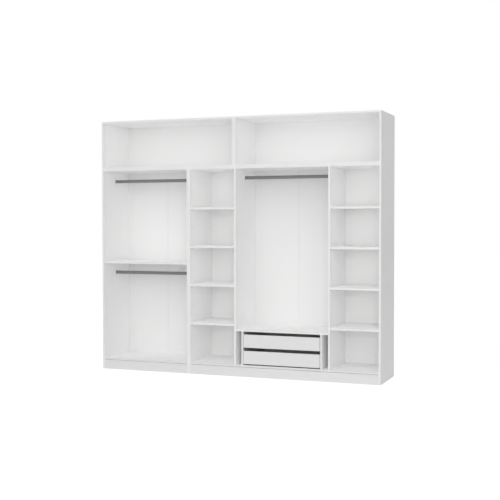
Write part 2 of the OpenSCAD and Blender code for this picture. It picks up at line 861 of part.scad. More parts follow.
module runner_cabinet_members() color("silver") difference() {
    for (front_z = [upper_front_z, lower_front_z])
        both_sides(runner_z(front_z)) cabinet_member();
    screw_voids(cabinet_runner_screws, screw_l);
}

module runner_middle_members(front_z) both_sides(runner_z(front_z)) middle_member();

module runner_drawer_members(front_z) difference() {
    both_sides(runner_z(front_z)) drawer_member();
    screw_voids(drawer_runner_screws(front_z), drawer_screw_l);
}

module upper_runner_middle_members() color("silver") runner_middle_members(upper_front_z);
module lower_runner_middle_members() color("silver") runner_middle_members(lower_front_z);
module upper_runner_drawer_members() color("silver") runner_drawer_members(upper_front_z);
module lower_runner_drawer_members() color("silver") runner_drawer_members(lower_front_z);

// A shelf pin: a peg in the board and a flat-topped head under the shelf
module shelf_pin() {
    rod(-pin_out / 2, pin_r, pin_in + pin_out / 2);
    translate([-pin_out, -pin_head_r, 0])
        cube([pin_out, 2 * pin_head_r, pin_head_r]);
    translate([-pin_out, 0, 0])
        rod(0, pin_head_r, pin_out);
}

module shelf_pins() color("silver")
    for (i = [0 : shelf_count - 1])
        for (y = pin_ys)
            for (end = [[column_a_u0, 180], [column_a_u1, 0], [column_b_u0, 180], [column_b_u1, 0]])
                at(end[0], y, first_shelf_z + i * shelf_pitch - pin_head_r)
                    rotate([0, 0, end[1]])
                        shelf_pin();

module cam_locks() color("silver") {
    in_frames(left_unit_joints(cam_ys)) cam_lock(board_t);
    in_frames(right_unit_joints(cam_ys)) cam_lock(board_t);
    for (u = [0, box_w])
        in_frames(top_box_joints(cam_ys, u)) cam_lock(board_t);
    in_frames(drawer_unit_joints(cam_ys)) cam_lock(board_t);
}

module cam_bolts() color("silver") {
    in_frames(left_unit_joints(cam_ys)) cam_bolt();
    in_frames(right_unit_joints(cam_ys)) cam_bolt();
    for (u = [0, box_w])
        in_frames(top_box_joints(cam_ys, u)) cam_bolt();
    in_frames(drawer_unit_joints(cam_ys)) cam_bolt();
}

module dowels() color("burlywood") {
    in_frames(left_unit_dowels) dowel();
    in_frames(right_unit_dowels) dowel();
    for (u = [0, box_w])
        in_frames(top_box_joints(dowel_ys, u)) dowel();
    in_frames(drawer_unit_joints(dowel_ys)) dowel();
    in_frames(unit_foot_dowels) dowel();
}

module confirmat_screws() color("silver") in_frames(divider_confirmats) confirmat();

module unit_connectors() color("white") in_frames(connectors) connector();

module floor_glides() color("gray")
    for (u = glide_us)
        for (y = connector_ys)
            at(u, y, 0) {
                cylinder(r = glide_r, h = glide_h, $fn = round_fn);
                cylinder(r = glide_stem_r, h = glide_h + glide_stem_l, $fn = round_fn);
            }

module short_screws() color("silver") {
    in_frames(socket_screws) screw(screw_l);
    in_frames(left_back_screws) screw(screw_l);
    in_frames(right_back_screws) screw(screw_l);
    in_frames(box_back_screws) screw(screw_l);
    in_frames(cabinet_runner_screws) screw(screw_l);
}

// The cam locks, cam bolts and screws of one drawer
module drawer_fasteners(front_z) {
    in_frames(drawer_front_cams(front_z)) {
        cam_lock(box_t);
        cam_bolt();
    }
    in_frames(drawer_runner_screws(front_z)) screw(drawer_screw_l);
    in_frames(drawer_back_screws(front_z)) screw(box_t + drawer_screw_l);
}

module upper_drawer_fasteners() color("silver") drawer_fasteners(upper_front_z);
module lower_drawer_fasteners() color("silver") drawer_fasteners(lower_front_z);

left_unit_left_side();
left_unit_right_side();
left_unit_top();
left_unit_bottom();
left_unit_plinth();
left_unit_shelf();
left_unit_back_panels();
right_unit_left_side();
right_unit_right_side();
right_unit_left_divider();
right_unit_right_divider();
right_unit_top();
right_unit_bottom();
right_unit_plinth();
right_unit_plinth_braces();
right_unit_back_panels();
back_joint_strips();
left_column_shelves();
right_column_shelves();
left_top_box_left_side();
left_top_box_right_side();
left_top_box_top();
left_top_box_bottom();
right_top_box_left_side();
right_top_box_right_side();
right_top_box_top();
right_top_box_bottom();
top_box_back_panels();
upper_left_rail();
lower_left_rail();
wide_bay_rail();
drawer_unit_top();
drawer_unit_left_side();
drawer_unit_right_side();
upper_drawer_front();
upper_drawer_left_side();
upper_drawer_right_side();
upper_drawer_back();
upper_drawer_base();
lower_drawer_front();
lower_drawer_left_side();
lower_drawer_right_side();
lower_drawer_back();
lower_drawer_base();
runner_cabinet_members();
upper_runner_middle_members();
lower_runner_middle_members();
upper_runner_drawer_members();
lower_runner_drawer_members();
rail_sockets();
shelf_pins();
cam_locks();
cam_bolts();
dowels();
confirmat_screws();
unit_connectors();
floor_glides();
short_screws();
upper_drawer_fasteners();
lower_drawer_fasteners();
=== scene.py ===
"""Open wardrobe in white boards: pieces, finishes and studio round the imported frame."""

import json
from math import radians

import bmesh
import bpy
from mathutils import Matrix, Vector

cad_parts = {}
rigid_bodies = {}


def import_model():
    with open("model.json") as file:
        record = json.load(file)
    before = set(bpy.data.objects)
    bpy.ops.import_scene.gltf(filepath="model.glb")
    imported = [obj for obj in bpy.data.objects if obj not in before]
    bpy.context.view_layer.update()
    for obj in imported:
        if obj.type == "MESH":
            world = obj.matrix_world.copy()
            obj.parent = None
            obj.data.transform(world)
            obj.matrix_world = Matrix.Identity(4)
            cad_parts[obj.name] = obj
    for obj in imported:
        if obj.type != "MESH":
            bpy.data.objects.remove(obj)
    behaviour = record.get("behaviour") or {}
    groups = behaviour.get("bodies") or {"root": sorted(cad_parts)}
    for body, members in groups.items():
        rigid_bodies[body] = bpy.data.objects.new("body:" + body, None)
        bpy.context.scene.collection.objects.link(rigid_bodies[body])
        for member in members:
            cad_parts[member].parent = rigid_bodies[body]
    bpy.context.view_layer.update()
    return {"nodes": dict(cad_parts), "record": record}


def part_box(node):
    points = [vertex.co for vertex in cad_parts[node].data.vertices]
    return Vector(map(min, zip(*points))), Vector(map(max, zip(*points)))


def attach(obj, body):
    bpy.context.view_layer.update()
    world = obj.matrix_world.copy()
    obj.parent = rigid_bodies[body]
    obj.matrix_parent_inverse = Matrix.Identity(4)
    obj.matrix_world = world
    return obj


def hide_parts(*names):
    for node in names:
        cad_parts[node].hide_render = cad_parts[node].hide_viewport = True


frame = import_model()

bl_info = {
    "name": "Open wardrobe",
    "version": (1, 0, 0),
    "blender": (4, 5, 0),
    "location": "View3D > Sidebar > Wardrobe",
    "description": "Builds an open wardrobe in white boards with its finishes and studio",
    "category": "Object",
}

MM = 0.001
X, Y, Z = 0, 1, 2
# Room that two coordinates of one place may differ by
NEAR = 0.02 * MM
# Distance up to which two vertices are merged, and the least size of a face
MERGE_REACH = 0.005 * MM
LEAST_FACE = 0.001 * MM
# Angle up to which two faces make one flat, and room for a square corner's angle
FLAT_ANGLE = radians(0.5)
SQUARE_ROOM = radians(2)
# Share of a direction that lies along an axis, from which it counts as along it
MOSTLY = 0.9
# Shortest edge of a board that is rounded over; the edges of drilled holes are shorter
LONG_EDGE = 5 * MM
# Width from which a long face of a runner's steel is a flat and no cut edge
RUNNER_FLAT = 3 * MM
# Depth under a board's faces from which its raw core shows
CORE_DEPTH = 1.3 * MM
# Numbers of flats round a front edge, any other edge, a runner's bend and an oval tube
FRONT_SEGMENTS = 3
CORNER_SEGMENTS = 2
STEEL_SEGMENTS = 3
TUBE_SEGMENTS = 64
# Angles between faces from which a fitting's edge is rounded, and up to which it is smooth
SHARP_ANGLE = radians(50)
SMOOTH_ANGLE = radians(35)
# Depth behind the front edges at which the bays' soft fill stands, and its share of a
# bay's width and height
FILL_DEPTH = 5 * MM
FILL_SHARES = (0.98, 0.97)
# Place of the soft suns, and where each one stands, in degrees to the right of straight in
# front and degrees up, with its width in degrees
SUN_PLACE = (0, -6, 4)
SUN_AIMS = {"low_sun": (20, 5, 60), "high_sun": (10, 50, 45), "left_sun": (-20, 40, 40)}
# Place of each soft panel, its tilt and its turn in degrees, and its width and height
PANELS = {
    "eye_panel": ((3.1, -8.2, 1.5), (87, 21), (2, 2)),
    "front_panel": ((0.6, -4.2, 1.2), (90, 8), (4, 2.4)),
}
# Length of the floor, and how white and how strong it shows to the camera
FLOOR_LENGTH = 60
FLOOR_GLOW = 1.13
FLOOR_GLOW_SHARE = 0.85
# Width of the camera's sensor in millimetres, and how far it sees
SENSOR_WIDTH = 36
SIGHT = 200

LEFT_UNIT_UPRIGHTS = ("left_unit_left_side", "left_unit_right_side")
RIGHT_UNIT_UPRIGHTS = (
    "right_unit_left_side",
    "right_unit_right_side",
    "right_unit_left_divider",
    "right_unit_right_divider",
)
TOP_BOX_UPRIGHTS = (
    "left_top_box_left_side",
    "left_top_box_right_side",
    "right_top_box_left_side",
    "right_top_box_right_side",
)
LOWER_LEVELS = ("left_unit_top", "left_unit_shelf", "right_unit_top")
BOTTOMS = ("left_unit_bottom", "right_unit_bottom")
TOP_BOX_LEVELS = (
    "left_top_box_top",
    "left_top_box_bottom",
    "right_top_box_top",
    "right_top_box_bottom",
)
PLINTHS = ("left_unit_plinth", "right_unit_plinth", "right_unit_plinth_braces")
COLUMN_SHELVES = ("left_column_shelves", "right_column_shelves")
BACK_PANELS = ("left_unit_back_panels", "right_unit_back_panels", "top_box_back_panels")
DRAWERS = ("upper", "lower")
RAILS = ("upper_left_rail", "lower_left_rail", "wide_bay_rail")


def size_property(name, description, default, least):
    """A length that a user may change."""
    return bpy.props.FloatProperty(
        name=name, description=description, default=default, min=least, unit="LENGTH"
    )


def colour_property(name, description, default):
    """A colour that a user may change."""
    return bpy.props.FloatVectorProperty(
        name=name, description=description, subtype="COLOR", default=default, min=0, max=1
    )


def light_property(name, description, default, unit="NONE"):
    """A light's strength or power that a user may change."""
    return bpy.props.FloatProperty(
        name=name, description=description, default=default, min=0, unit=unit
    )


class WardrobeSizes(bpy.types.PropertyGroup):
    """Sizes of the edges and small parts that the finish adds"""

    front_radius: size_property(
        "Front edge radius", "Radius of the banded front edges", 0.8 * MM, 0.1 * MM
    )
    corner_radius: size_property(
        "Corner radius", "Radius of the other long edges of a board", 0.35 * MM, 0.05 * MM
    )
    band: size_property(
        "Edge band", "Thickness of the band on the front edges", 1.0 * MM, 0.2 * MM
    )
    rail_wall: size_property("Rail wall", "Wall of the hanging rails", 1.2 * MM, 0.5 * MM)
    hardware_radius: size_property(
        "Hardware radius",
        "Radius of the edges of sockets, connectors, dowels and glides",
        0.3 * MM,
        0.05 * MM,
    )
    steel_radius: size_property(
        "Runner radius", "Outer radius of the rolled steel of the runners", 0.9 * MM, 0.1 * MM
    )


class WardrobeColours(bpy.types.PropertyGroup):
    """Colours of the finishes"""

    board: colour_property("Board", "White melamine of the boards", (0.945, 0.945, 0.943))
    # Painted light: the shelves', tops' and bottoms' white is painted lighter than the uprights'
    # board white, so that their upward and downward faces show brighter
    level: colour_property(
        "Level board", "White melamine of the shelves, tops and bottoms", (0.97, 0.97, 0.968)
    )
    front: colour_property(
        "Drawer fronts and plinths",
        "White of the drawer fronts and plinths, and of the bands on the boards round them",
        (0.72, 0.72, 0.718),
    )
    band: colour_property("Edge band", "White band on the other front edges", (0.785, 0.785, 0.783))
    back: colour_property("Back panel", "White lacquer of the back panels", (0.735, 0.735, 0.733))
    hardboard: colour_property(
        "Raw hardboard", "Raw rear face of the back panels", (0.34, 0.22, 0.125)
    )
    core: colour_property(
        "Board core", "Chips inside the boards, in holes and grooves", (0.46, 0.33, 0.20)
    )
    foil: colour_property(
        "Drawer box foil",
        "Grey foil of the drawer boxes and of what stands beside them",
        (0.55, 0.55, 0.545),
    )
    rail: colour_property(
        "Hanging rail", "Dark grey coat of the hanging rails", (0.168, 0.168, 0.171)
    )
    white_coat: colour_property(
        "White coat",
        "White coat of the rail sockets and of the connectors' heads",
        (0.80, 0.80, 0.798),
    )
    steel: colour_property(
        "Runner steel", "Zinc-plated steel of the drawer runners", (0.62, 0.63, 0.64)
    )
    zinc: colour_property("Zinc", "Zinc of the cam locks, screws and pins", (0.66, 0.66, 0.64))
    beech: colour_property("Beech", "Beech of the dowels", (0.60, 0.42, 0.24))
    strip: colour_property(
        "Joint strip", "White plastic of the strips between back panels", (0.72, 0.72, 0.718)
    )
    glide: colour_property("Glide", "Dark plastic of the floor glides", (0.05, 0.05, 0.052))
    floor: colour_property("Floor", "Pale floor", (0.82, 0.82, 0.82))


class WardrobeStudio(bpy.types.PropertyGroup):
    """Camera and light"""

    eye: bpy.props.FloatVectorProperty(
        name="Eye",
        description="Place of the camera",
        default=(3.279, -8.315, 1.405),
        subtype="TRANSLATION",
        unit="LENGTH",
    )
    tilt: bpy.props.FloatProperty(
        name="Tilt",
        description="Angle by which the camera looks down",
        default=radians(1.712),
        unit="ROTATION",
    )
    turn: bpy.props.FloatProperty(
        name="Turn",
        description="Angle by which the camera turns left from straight ahead",
        default=radians(21.179),
        unit="ROTATION",
    )
    roll: bpy.props.FloatProperty(
        name="Roll",
        description="Angle of the camera about its line of sight",
        default=radians(0.067),
        unit="ROTATION",
    )
    lens: bpy.props.FloatProperty(
        name="Lens",
        description="Focal length on a 36 mm sensor",
        default=69.57,
        unit="CAMERA",
    )
    sky: light_property("Sky", "Strength of the even light from all round", 0.367)
    low_sun: light_property("Low sun", "Strength of the wide light from low on the right", 0.961)
    high_sun: light_property("High sun", "Strength of the soft light from high in front", 0.37)
    left_sun: light_property("Left sun", "Strength of the soft light from high on the left", 0.325)
    eye_panel: light_property(
        "Eye panel", "Power of the soft panel round the camera", 101, unit="POWER"
    )
    front_panel: light_property(
        "Front panel", "Power of the large soft panel in front", 10.6, unit="POWER"
    )
    column_fill: bpy.props.FloatVectorProperty(
        name="Column fill",
        description="Power in a square metre of the soft fill in the shelf columns' rooms, "
        "from the lowest room to the highest",
        size=5,
        default=(0.85, 1.00, 1.15, 1.25, 1.34),
        min=0,
    )
    box_fill: light_property(
        "Top box fill", "Power in a square metre of the soft fill in the top boxes' openings", 0.88
    )
    gap_fill: light_property(
        "Gap fill", "Power in a square metre of the soft fill beside the drawer unit", 0.39
    )
    hanging_fill: bpy.props.FloatVectorProperty(
        name="Hanging bay fill",
        description="Power in a square metre of the soft fill in the upper left, lower left "
        "and wide bays' openings",
        default=(0.54, 0.345, 0.258),
        min=0,
    )
    fill_spread: bpy.props.FloatProperty(
        name="Fill spread",
        description="Angle within which the soft fill in the openings shines",
        default=radians(115),
        min=radians(10),
        max=radians(180),
        unit="ROTATION",
    )


# Materials


class Finish:
    """A new material with short calls for the nodes that its pattern needs."""

    def __init__(self, name, colour, roughness, metallic=0.0):
        self.material = bpy.data.materials.new(name)
        self.material.use_nodes = True
        self.material.diffuse_color = (*colour, 1)
        self.nodes = self.material.node_tree.nodes
        self.links = self.material.node_tree.links
        self.shader = self.nodes["Principled BSDF"]
        self.shader.inputs["Base Color"].default_value = (*colour, 1)
        self.shader.inputs["Roughness"].default_value = roughness
        self.shader.inputs["Metallic"].default_value = metallic
        self.place = self.nodes.new("ShaderNodeTexCoord").outputs["Object"]

    def noise(self, cells, detail=3.0, roughness=0.5, distortion=0.0):
        """A noise with that many cells in a metre along X, Y and Z."""
        mapping = self.nodes.new("ShaderNodeMapping")
        mapping.inputs["Scale"].default_value = cells
        pattern = self.nodes.new("ShaderNodeTexNoise")
        pattern.inputs["Scale"].default_value = 1.0
        pattern.inputs["Detail"].default_value = detail
        pattern.inputs["Roughness"].default_value = roughness
        pattern.inputs["Distortion"].default_value = distortion
        self.links.new(self.place, mapping.inputs["Vector"])
        self.links.new(mapping.outputs["Vector"], pattern.inputs["Vector"])
        return pattern.outputs["Fac"]

    def chips(self, cells, feature="F1"):
        """A pattern of chips with that many in a metre along X, Y and Z."""
        mapping = self.nodes.new("ShaderNodeMapping")
        mapping.inputs["Scale"].default_value = cells
        pattern = self.nodes.new("ShaderNodeTexVoronoi")
        pattern.feature = feature
        pattern.inputs["Scale"].default_value = 1.0
        self.links.new(self.place, mapping.inputs["Vector"])
        self.links.new(mapping.outputs["Vector"], pattern.inputs["Vector"])
        return pattern.outputs

    def graded(self, value, low, high, to_low, to_high):
        """The value from low to high, spread over to_low to to_high."""
        node = self.nodes.new("ShaderNodeMapRange")
        node.inputs["From Min"].default_value = low
        node.inputs["From Max"].default_value = high
        node.inputs["To Min"].default_value = to_low
        node.inputs["To Max"].default_value = to_high
        self.links.new(value, node.inputs["Value"])
        return node.outputs["Result"]

    def mixed(self, share, dark, light):
        """A colour between two colours, either of which may be a socket."""
        node = self.nodes.new("ShaderNodeMix")
        node.data_type = "RGBA"
        self.links.new(share, node.inputs[0])
        for socket, colour in ((node.inputs[6], dark), (node.inputs[7], light)):
            if isinstance(colour, bpy.types.NodeSocket):
                self.links.new(colour, socket)
            else:
                socket.default_value = (*colour, 1)
        return node.outputs[2]

    def toned(self, value, dark, light, low=0.3, high=0.7, most=1):
        """A colour from dark, up to the low value, towards light, by most at the high one."""
        return self.mixed(self.graded(value, low, high, 0, most), dark, light)

    def coloured(self, colour):
        """Gives the material that colour."""
        self.links.new(colour, self.shader.inputs["Base Color"])

    def roughened(self, value, smooth, rough):
        """A roughness between two, as the value goes from low to high."""
        self.links.new(self.graded(value, 0.3, 0.7, smooth, rough), self.shader.inputs["Roughness"])

    def embossed(self, height, depth, strength=1.0):
        """Adds relief of that depth in metres over what is there."""
        node = self.nodes.new("ShaderNodeBump")
        node.inputs["Strength"].default_value = strength
        node.inputs["Distance"].default_value = depth
        self.links.new(height, node.inputs["Height"])
        normal = self.shader.inputs["Normal"]
        if normal.is_linked:
            self.links.new(normal.links[0].from_socket, node.inputs["Normal"])
        self.links.new(node.outputs["Normal"], normal)


def shaded(colour, factor):
    """The colour, darker or lighter by a factor."""
    return tuple(channel * factor for channel in colour)


def along(axis, lengthwise, across):
    """Numbers of cells in a metre, few along the grain's axis and many across it."""
    return tuple(lengthwise if i == axis else across for i in range(3))


def melamine(name, colour, axis):
    """White melamine: a faint pressed grain along one axis, with fine pores."""
    finish = Finish(name, colour, 0.5)
    streaks = finish.noise(along(axis, 1.1, 55), detail=5, roughness=0.6, distortion=0.3)
    fine = finish.noise(along(axis, 7, 340), detail=3)
    clouds = finish.noise((2.3, 2.3, 2.3), detail=2)
    grain = finish.toned(streaks, shaded(colour, 0.984), shaded(colour, 1.008))
    fibres = finish.toned(fine, shaded(colour, 0.978), grain, 0.35, 0.65)
    share = finish.graded(clouds, 0.35, 0.65, 0.75, 1.0)
    finish.coloured(finish.mixed(share, grain, fibres))
    finish.roughened(fine, 0.46, 0.56)
    finish.embossed(fine, 0.03 * MM, 0.5)
    pores = finish.noise(along(axis, 35, 1500), detail=2, roughness=0.7)
    finish.embossed(finish.graded(pores, 0.52, 0.72, 0, 1), 0.02 * MM, 0.6)
    return finish.material


def lacquer(name, colour):
    """Rolled white lacquer on a thin panel: faint upright roller lines and orange peel."""
    finish = Finish(name, colour, 0.48)
    lines = finish.noise(along(Z, 0.8, 46), detail=6, roughness=0.7, distortion=0.5)
    clouds = finish.noise((1.7, 1.7, 1.3), detail=3)
    rolled = finish.toned(lines, shaded(colour, 0.994), shaded(colour, 1.003))
    finish.coloured(finish.toned(clouds, rolled, shaded(colour, 0.986), 0.35, 0.65, 0.6))
    peel = finish.noise((310, 310, 310), detail=3)
    finish.roughened(peel, 0.43, 0.54)
    finish.embossed(peel, 0.02 * MM, 0.5)
    specks = finish.noise((1900, 1900, 1900), detail=1)
    finish.embossed(finish.graded(specks, 0.62, 0.7, 0, 1), 0.02 * MM, 0.5)
    return finish.material


def edge_band(name, colour):
    """Plastic band on an edge: smoother than the board, with a fine orange peel."""
    finish = Finish(name, colour, 0.42)
    mottle = finish.noise((9, 40, 9), detail=3)
    finish.coloured(finish.toned(mottle, shaded(colour, 0.985), colour))
    peel = finish.noise((420, 420, 420), detail=2)
    finish.roughened(peel, 0.38, 0.46)
    finish.embossed(peel, 0.015 * MM, 0.4)
    return finish.material


def chipboard(name, colour):
    """Raw chips and glue inside a board."""
    finish = Finish(name, colour, 0.9)
    chips = finish.chips((420, 420, 900))
    tone = finish.noise((260, 260, 600), detail=4, roughness=0.65)
    base = finish.toned(tone, shaded(colour, 0.55), shaded(colour, 1.25))
    finish.coloured(finish.toned(chips["Distance"], base, shaded(colour, 0.8), 0.0, 0.6))
    finish.embossed(chips["Distance"], 0.25 * MM, 0.8)
    finish.embossed(tone, 0.15 * MM, 0.6)
    return finish.material


def hardboard(name, colour):
    """Raw hardboard: pressed brown fibres with a fine mesh-like relief."""
    finish = Finish(name, colour, 0.82)
    fibres = finish.noise((310, 310, 120), detail=6, roughness=0.7, distortion=1.2)
    clouds = finish.noise((3.2, 3.2, 2.1), detail=4, roughness=0.6)
    flecks = finish.noise((900, 900, 500), detail=2, roughness=0.7)
    base = finish.toned(fibres, shaded(colour, 0.78), shaded(colour, 1.14))
    clouded = finish.toned(clouds, base, shaded(colour, 1.2), 0.35, 0.65, 0.35)
    finish.coloured(finish.toned(flecks, clouded, shaded(colour, 0.5), 0.6, 0.75, 0.5))
    finish.roughened(fibres, 0.76, 0.9)
    finish.embossed(fibres, 0.08 * MM, 0.6)
    return finish.material


def foil(name, colour, axis):
    """Grey foil with a faint pressed grain."""
    finish = Finish(name, colour, 0.5)
    streaks = finish.noise(along(axis, 4, 160), detail=4, roughness=0.6)
    finish.coloured(finish.toned(streaks, shaded(colour, 0.93), shaded(colour, 1.05)))
    finish.roughened(streaks, 0.44, 0.58)
    finish.embossed(streaks, 0.03 * MM, 0.5)
    return finish.material


def powder_coat(name, colour):
    """Satin coat on metal with a fine grain."""
    finish = Finish(name, colour, 0.38)
    speckle = finish.noise((700, 700, 700), detail=3, roughness=0.6)
    wear = finish.noise((14, 60, 60), detail=4)
    finish.coloured(finish.toned(wear, shaded(colour, 0.92), shaded(colour, 1.1), high=0.75))
    finish.roughened(speckle, 0.32, 0.46)
    finish.embossed(speckle, 0.03 * MM, 0.5)
    return finish.material


def plated(name, colour, axis=None, roughness=0.34):
    """Zinc on steel: crystals in the plating and, on rolled steel, lines along one axis."""
    finish = Finish(name, colour, roughness, metallic=1.0)
    crystals = finish.chips((260, 260, 260))
    lines = finish.noise(
        (500, 500, 500) if axis is None else along(axis, 9, 1400), detail=3, roughness=0.6
    )
    finish.coloured(finish.toned(crystals["Distance"], colour, shaded(colour, 0.86), low=0.0))
    finish.roughened(lines, roughness - 0.08, roughness + 0.12)
    finish.embossed(lines, 0.01 * MM, 0.5)
    return finish.material


def moulded(name, colour, roughness=0.5):
    """Moulded plastic with a fine spark-eroded grain."""
    finish = Finish(name, colour, roughness)
    grain = finish.noise((900, 900, 900), detail=2)
    flow = finish.noise((12, 12, 5), detail=3)
    finish.coloured(finish.toned(flow, shaded(colour, 0.97), colour))
    finish.roughened(grain, roughness - 0.06, roughness + 0.08)
    finish.embossed(grain, 0.02 * MM, 0.5)
    return finish.material


def beech(name, colour):
    """Turned beech with short darker flecks."""
    finish = Finish(name, colour, 0.65)
    rings = finish.noise((240, 900, 900), detail=4, roughness=0.6)
    flecks = finish.noise((900, 2600, 2600), detail=2)
    base = finish.toned(rings, shaded(colour, 0.84), shaded(colour, 1.1))
    finish.coloured(finish.toned(flecks, base, shaded(colour, 0.6), 0.62, 0.75, 0.6))
    finish.embossed(flecks, 0.03 * MM, 0.5)
    return finish.material


def make_finishes(colours):
    """Every finish, by its name."""
    return {
        "upright_melamine": melamine("upright_melamine", tuple(colours.board), Z),
        # Painted light: a lighter copy of the white melamine, for the level boards
        "level_melamine": melamine("level_melamine", tuple(colours.level), X),
        "front_melamine": melamine("front_melamine", tuple(colours.front), X),
        "back_lacquer": lacquer("back_lacquer", tuple(colours.back)),
        "edge_band": edge_band("edge_band", tuple(colours.band)),
        "unit_band": edge_band("unit_band", tuple(colours.front)),
        "board_core": chipboard("board_core", tuple(colours.core)),
        "raw_hardboard": hardboard("raw_hardboard", tuple(colours.hardboard)),
        "grey_foil": foil("grey_foil", tuple(colours.foil), Y),
        "grey_foil_across": foil("grey_foil_across", tuple(colours.foil), X),
        "rail_coat": powder_coat("rail_coat", tuple(colours.rail)),
        "rolled_steel": plated("rolled_steel", tuple(colours.steel), Y),
        "zinc_plating": plated("zinc_plating", tuple(colours.zinc)),
        "dowel_beech": beech("dowel_beech", tuple(colours.beech)),
        "white_strip": moulded("white_strip", tuple(colours.strip)),
        "white_coat": powder_coat("white_coat", tuple(colours.white_coat)),
        "dark_glide": moulded("dark_glide", tuple(colours.glide)),
    }


FINISHES = {}


def finishes():
    """The finishes, made on the first call."""
    if not FINISHES:
        FINISHES.update(make_finishes(bpy.context.scene.wardrobe_colours))
    return FINISHES


# Modelling


def deselect():
    """Leaves edit mode, with nothing selected."""
    if bpy.context.object and bpy.context.object.mode != "OBJECT":
        bpy.ops.object.mode_set(mode="OBJECT")
    for thing in bpy.context.view_layer.objects:
        thing.select_set(False)


def activate(piece):
    """Makes a piece the only one selected and the active one."""
    deselect()
    piece.select_set(True)
    bpy.context.view_layer.objects.active = piece


def body_of(node):
    """The body that carries a CAD node."""
    for body, names in frame["record"]["behaviour"]["bodies"].items():
        if node in names:
            return body
    raise ValueError(f"no body holds {node}")


def stand_for(piece, nodes):
    """The piece takes the nodes' place and body."""
    nodes = (nodes,) if isinstance(nodes, str) else nodes
    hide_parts(*nodes)
    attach(piece, body_of(nodes[0]))


def copy_of_node(node, name):
    """A new piece with the node's mesh, merged, with one face on each flat."""
    piece = bpy.data.objects.new(name, frame["nodes"][node].data.copy())
    bpy.context.collection.objects.link(piece)
    piece.data.name = name
    piece.data.materials.clear()
    activate(piece)
    if piece.data.has_custom_normals:
        bpy.ops.mesh.customdata_custom_splitnormals_clear()
    bpy.ops.object.mode_set(mode="EDIT")
    bpy.ops.mesh.select_all(action="SELECT")
    bpy.ops.mesh.remove_doubles(threshold=MERGE_REACH)
    bpy.ops.mesh.faces_shade_flat()
    bpy.ops.mesh.dissolve_limited(angle_limit=FLAT_ANGLE, use_dissolve_boundaries=False)
    bpy.ops.object.mode_set(mode="OBJECT")
    return piece


def corners(piece):
    """The piece's lowest and highest corners."""
    places = [vertex.co for vertex in piece.data.vertices]
    low = Vector(min(place[i] for place in places) for i in range(3))
    high = Vector(max(place[i] for place in places) for i in range(3))
    return low, high


def select_edges(piece, wanted):
    """Selects the edges that wanted() takes, in edit mode, and gives how many."""
    bpy.ops.mesh.select_mode(type="EDGE")
    bpy.ops.mesh.select_all(action="DESELECT")
    form = bmesh.from_edit_mesh(piece.data)
    count = 0
    for edge in form.edges:
        if wanted(edge):
            edge.select_set(True)
            count += 1
    form.select_flush_mode()
    bmesh.update_edit_mesh(piece.data)
    return count


def is_long_corner(edge):
    """A long outer edge where two flats meet squarely."""
    return (
        len(edge.link_faces) == 2
        and edge.calc_length() > LONG_EDGE
        and edge.is_convex
        and abs(edge.calc_face_angle() - radians(90)) < SQUARE_ROOM
    )


def lies_on(edge, axis, level):
    """Whether both ends of an edge are at that level along the axis."""
    return all(abs(vertex.co[axis] - level) < NEAR for vertex in edge.verts)


def round_edges(piece, wanted, radius, segments):
    """Rounds the chosen edges over."""
    bpy.ops.object.mode_set(mode="EDIT")
    if select_edges(piece, wanted):
        bpy.ops.mesh.bevel(
            offset=radius, segments=segments, profile=0.5, affect="EDGES", clamp_overlap=False
        )
    bpy.ops.object.mode_set(mode="OBJECT")


def cut_line(piece, axis, level):
    """A line round the piece, square to the axis, with no vertices left beside each other."""
    bpy.ops.object.mode_set(mode="EDIT")
    bpy.ops.mesh.select_all(action="SELECT")
    bpy.ops.mesh.bisect(
        plane_co=[level if i == axis else 0 for i in range(3)],
        plane_no=[1 if i == axis else 0 for i in range(3)],
    )
    bpy.ops.mesh.select_all(action="SELECT")
    bpy.ops.mesh.remove_doubles(threshold=MERGE_REACH)
    bpy.ops.mesh.dissolve_degenerate(threshold=LEAST_FACE)
    bpy.ops.object.mode_set(mode="OBJECT")


def paint(piece, names, choose):
    """Gives each face the finish that choose(face) names."""
    for name in names:
        piece.data.materials.append(finishes()[name])
    for face in piece.data.polygons:
        face.material_index = names.index(choose(face))


def depth_inside(point, spans):
    """How deep a point lies under the nearest flat of the boards' boxes."""
    best = -1.0
    for low, high in spans:
        depth = min(min(point[i] - low[i], high[i] - point[i]) for i in range(3))
        best = max(best, depth)
    return best


def islands(piece):
    """The boxes of the piece's separate solids."""
    form = bmesh.new()
    form.from_mesh(piece.data)
    spans, seen = [], set()
    for start in form.verts:
        if start.index in seen:
            continue
        seen.add(start.index)
        low, high, heap = start.co.copy(), start.co.copy(), [start]
        while heap:
            vertex = heap.pop()
            for i in range(3):
                low[i] = min(low[i], vertex.co[i])
                high[i] = max(high[i], vertex.co[i])
            for edge in vertex.link_edges:
                other = edge.other_vert(vertex)
                if other.index not in seen:
                    seen.add(other.index)
                    heap.append(other)
        spans.append((low, high))
    form.free()
    return spans


def make_board(node, face, band="edge_band", level_edges=None):
    """A board from its CAD node: rounded edges, banded front and raw core in its holes.

    Without a band the front keeps its corners. level_edges is a finish of its own for
    the faces above and below.
    """
    sizes = bpy.context.scene.wardrobe_sizes
    piece = copy_of_node(node, f"{node}_board")
    low, high = corners(piece)
    spans = islands(piece)
    front = low[Y]
    tall = high[Z] - low[Z] > high[X] - low[X]

    def is_front_edge(edge):
        run = edge.verts[1].co - edge.verts[0].co
        lengthwise = abs(run[Z if tall else X]) > abs(run[X if tall else Z])
        return is_long_corner(edge) and lies_on(edge, Y, front) and lengthwise

    if band:
        round_edges(piece, is_front_edge, sizes.front_radius, FRONT_SEGMENTS)
    round_edges(piece, is_long_corner, sizes.corner_radius, CORNER_SEGMENTS)
    if band:
        cut_line(piece, Y, front + sizes.band)

    def choose(polygon):
        if band and polygon.center[Y] < front + sizes.band:
            return band
        if depth_inside(polygon.center, spans) > CORE_DEPTH:
            return "board_core"
        if level_edges and abs(polygon.normal[Z]) > MOSTLY:
            return level_edges
        return face

    names = [face, "board_core", band, level_edges]
    paint(piece, [name for name in names if name], choose)
    stand_for(piece, node)
    return piece


